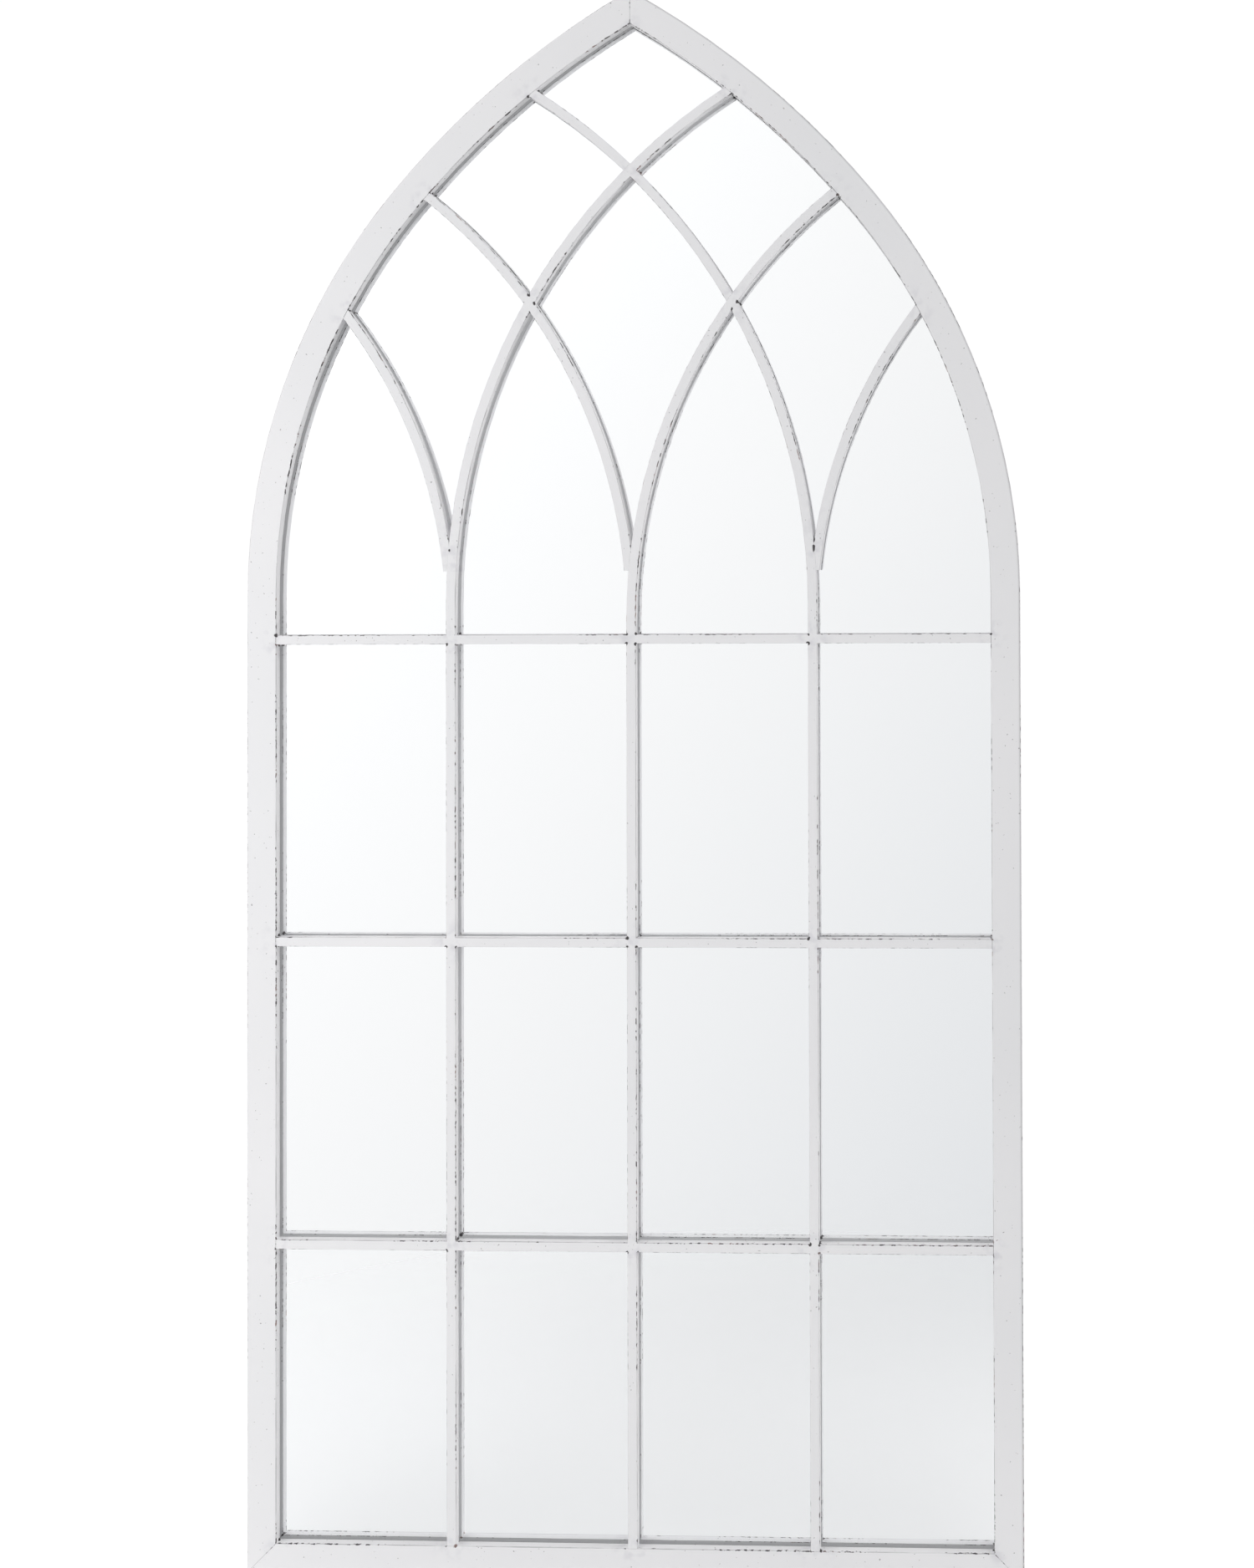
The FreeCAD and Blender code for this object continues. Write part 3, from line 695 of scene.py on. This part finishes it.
class MIRROR_OT_silver_glass(bpy.types.Operator):
    """Make the glass clear and lay the silvering inside its back face"""

    bl_idname = "mirror.silver_glass"
    bl_label = "Silver Glass"

    def execute(self, context):
        sizes, colours = context.scene.mirror_sizes, context.scene.mirror_colours
        finish_nodes(("mirror_glass",), clear_glass(colours))
        low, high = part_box("mirror_glass")
        mesh = bmesh.new()
        sheet = self.fill_outline(mesh, sizes, low.z + sizes.silver_rim,
                                  high.y - sizes.silver_depth)
        if not sheet:
            raise RuntimeError("the silvering has no outline")
        film = bmesh.ops.extrude_face_region(mesh, geom=sheet)["geom"]
        bmesh.ops.translate(mesh, verts=verts_of(film), vec=(0.0, -sizes.silver_film, 0.0))
        bmesh.ops.recalc_face_normals(mesh, faces=mesh.faces[:])
        piece = new_object(context, "silver_coat", mesh)
        piece.data.materials.append(silvering(colours))
        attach(piece, "root")
        return {"FINISHED"}

    def fill_outline(self, mesh, sizes, inset, back):
        """A flat sheet with the outline of the frame, moved in by the inset."""
        (low_x, low_z), (high_x, high_z) = arch_centres(sizes)
        apex_turn = math.acos(high_x / (sizes.upper_radius - inset))
        foot = bmesh.ops.create_vert(mesh, co=(inset - HALF_WIDTH, back, inset))["vert"]
        end = bmesh.ops.extrude_vert_indiv(mesh, verts=foot)["verts"]
        bmesh.ops.translate(mesh, verts=end, vec=(0.0, 0.0, sizes.spring_height - inset))
        for centre, turn in (((low_x, back, low_z), sizes.lower_sweep),
                             ((high_x, back, high_z), apex_turn - sizes.lower_sweep)):
            arc = bmesh.ops.spin(mesh, geom=end, cent=centre, axis=(0.0, 1.0, 0.0),
                                 angle=turn, steps=ARC_STEPS)
            end = verts_of(arc["geom_last"])
        bmesh.ops.mirror(mesh, geom=mesh.verts[:] + mesh.edges[:], axis="X",
                         merge_dist=CLOSE)
        feet = [vert for vert in mesh.verts if abs(vert.co.z - inset) < CLOSE]
        bmesh.ops.contextual_create(mesh, geom=feet)
        return bmesh.ops.contextual_create(mesh, geom=mesh.edges[:])["faces"]


class MIRROR_OT_finish_back(bpy.types.Operator):
    """Finish the tape, the backing board, the tabs and the hanging strap"""

    bl_idname = "mirror.finish_back"
    bl_label = "Finish Back"

    def execute(self, context):
        sizes, colours = context.scene.mirror_sizes, context.scene.mirror_colours
        finish_nodes(TAPES, foam(colours))
        finish_nodes(("backing_board",), fibreboard(colours))
        finish_nodes(("retaining_tabs",), zinc_sheet(colours))
        finish_nodes(("hanging_strap",), painted_steel("strap_paint", sizes, colours,
                                                       strap_edges()))
        return {"FINISHED"}


class MIRROR_OT_set_stage(bpy.types.Operator):
    """Set the floor, the light and the camera"""

    bl_idname = "mirror.set_stage"
    bl_label = "Set Stage"

    def execute(self, context):
        colours = context.scene.mirror_colours
        self.lay_floor(context, colours)
        self.light_room(context)
        for softbox in SOFTBOXES:
            self.hang_softbox(context, *softbox)
        self.place_camera(context)
        context.scene.view_settings.view_transform = "Standard"
        return {"FINISHED"}

    def lay_floor(self, context, colours):
        """A round pale floor that fades into the white room.

        A little of its light is its own: some stands for light off the mirror, strongest close
        to the wall, and some lifts it towards the white of the room where the camera sees it.
        """
        radius = 1.6
        solid_within, gone_beyond = 0.4, 1.4
        mesh = bmesh.new()
        bmesh.ops.create_circle(mesh, cap_ends=True, segments=96, radius=radius)
        floor = new_object(context, "studio_floor", mesh)
        material, graph, shader = new_material("studio_floor")
        x, y, _ = graph.axes(graph.position())
        shader["Base Color"].default_value = rgba(colours.floor)
        shader["Roughness"].default_value = 0.9
        shader["Emission Color"].default_value = rgba(WHITE)
        in_front = graph.maths("LESS_THAN", y, 0.0)
        off_mirror = graph.maths("MULTIPLY", graph.fade(y, -0.9, -0.2, 0.02, 0.105), in_front)
        seen = graph.add("LightPath").outputs["Is Camera Ray"]
        lift = 0.45
        graph.plug(shader["Emission Strength"],
                   graph.maths("MULTIPLY_ADD", seen, lift, off_mirror))
        graph.plug(shader["Alpha"], graph.fade(graph.reach(x, y), gone_beyond, solid_within))
        floor.data.materials.append(material)

    def light_room(self, context):
        """A room that the camera sees as white, with a soft screen in front of the mirror.

        The screen is dimmer low down and to the right, and the dimmer a part of the room is,
        the cooler is its light.
        """
        world = bpy.data.worlds.new("studio")
        world.use_nodes = True
        context.scene.world = world
        graph = Graph(world.node_tree)
        x, y, z = graph.axes(graph.add("TexCoord").outputs["Generated"])
        screen = graph.maths("MULTIPLY_ADD", x, SCREEN_RIGHT,
                             graph.maths("MULTIPLY_ADD", z, SCREEN_UP, SCREEN_MIDDLE))
        level = GAP_LEVEL
        for start, stop, step_level in ROOM_STEPS:
            level = graph.fade(y, start, stop, level, step_level)
        level = graph.fade(y, SCREEN_FROM, SCREEN_FULL, level, screen)
        tint = graph.blend(graph.fade(level, 1.0, 0.75), WHITE, COOL)
        seen = graph.add("LightPath").outputs["Is Camera Ray"]
        shown = world.node_tree.nodes["Background"].inputs
        graph.plug(shown["Color"], graph.blend(seen, tint, WHITE))
        graph.plug(shown["Strength"], graph.either(seen, level, WHITE_SEEN))

    def hang_softbox(self, context, name, place, size, power):
        """A soft light aimed at the mirror. Neither the mirror nor the camera shows it."""
        light = bpy.data.lights.new(name, "AREA")
        light.shape = "RECTANGLE"
        light.size, light.size_y = size
        light.energy = power
        lamp = bpy.data.objects.new(name, light)
        context.scene.collection.objects.link(lamp)
        lamp.location = place
        aim = Vector(SOFTBOX_AIM) - Vector(place)
        lamp.rotation_euler = aim.to_track_quat("-Z", "Y").to_euler()
        lamp.visible_glossy = False
        lamp.visible_transmission = False
        lamp.visible_camera = False

    def place_camera(self, context):
        """Right of the mirror at standing height, shifted to bring it into the frame."""
        eye = (0.426, -2.014, 1.028)
        yaw, pitch, roll = math.radians(2.14), math.radians(-0.66), math.radians(-0.23)
        data = bpy.data.cameras.new("camera")
        data.lens, data.sensor_width = 45.0, 36.0
        data.shift_x, data.shift_y = -0.22, -0.15
        camera = bpy.data.objects.new("camera", data)
        context.scene.collection.objects.link(camera)
        turn = (Matrix.Rotation(yaw, 3, "Z") @ Matrix.Rotation(math.pi / 2 - pitch, 3, "X")
                @ Matrix.Rotation(roll, 3, "Z"))
        camera.rotation_euler = turn.to_euler()
        camera.location = eye
        context.scene.camera = camera


OPERATORS = (MIRROR_OT_paint_frame, MIRROR_OT_paint_bars, MIRROR_OT_silver_glass,
             MIRROR_OT_finish_back, MIRROR_OT_set_stage)


class MIRROR_PT_sidebar(bpy.types.Panel):
    """Steps that dress the mirror, and the sizes and colours that they read"""

    bl_idname = "MIRROR_PT_sidebar"
    bl_label = "Arched Window Mirror"
    bl_space_type = "VIEW_3D"
    bl_region_type = "UI"
    bl_category = "Mirror"

    def draw(self, context):
        layout = self.layout
        for operator in OPERATORS:
            layout.operator(operator.bl_idname)
        for settings in (context.scene.mirror_sizes, context.scene.mirror_colours):
            box = layout.box()
            for name in settings.__annotations__:
                box.prop(settings, name)


CLASSES = (MirrorSizes, MirrorColours, *OPERATORS, MIRROR_PT_sidebar)


def register():
    for cls in CLASSES:
        bpy.utils.register_class(cls)
    bpy.types.Scene.mirror_sizes = PointerProperty(type=MirrorSizes)
    bpy.types.Scene.mirror_colours = PointerProperty(type=MirrorColours)


def unregister():
    del bpy.types.Scene.mirror_colours
    del bpy.types.Scene.mirror_sizes
    for cls in reversed(CLASSES):
        bpy.utils.unregister_class(cls)


def main():
    register()
    bpy.ops.mirror.paint_frame()
    bpy.ops.mirror.paint_bars()
    bpy.ops.mirror.silver_glass()
    bpy.ops.mirror.finish_back()
    bpy.ops.mirror.set_stage()


if __name__ == "__main__":
    main()
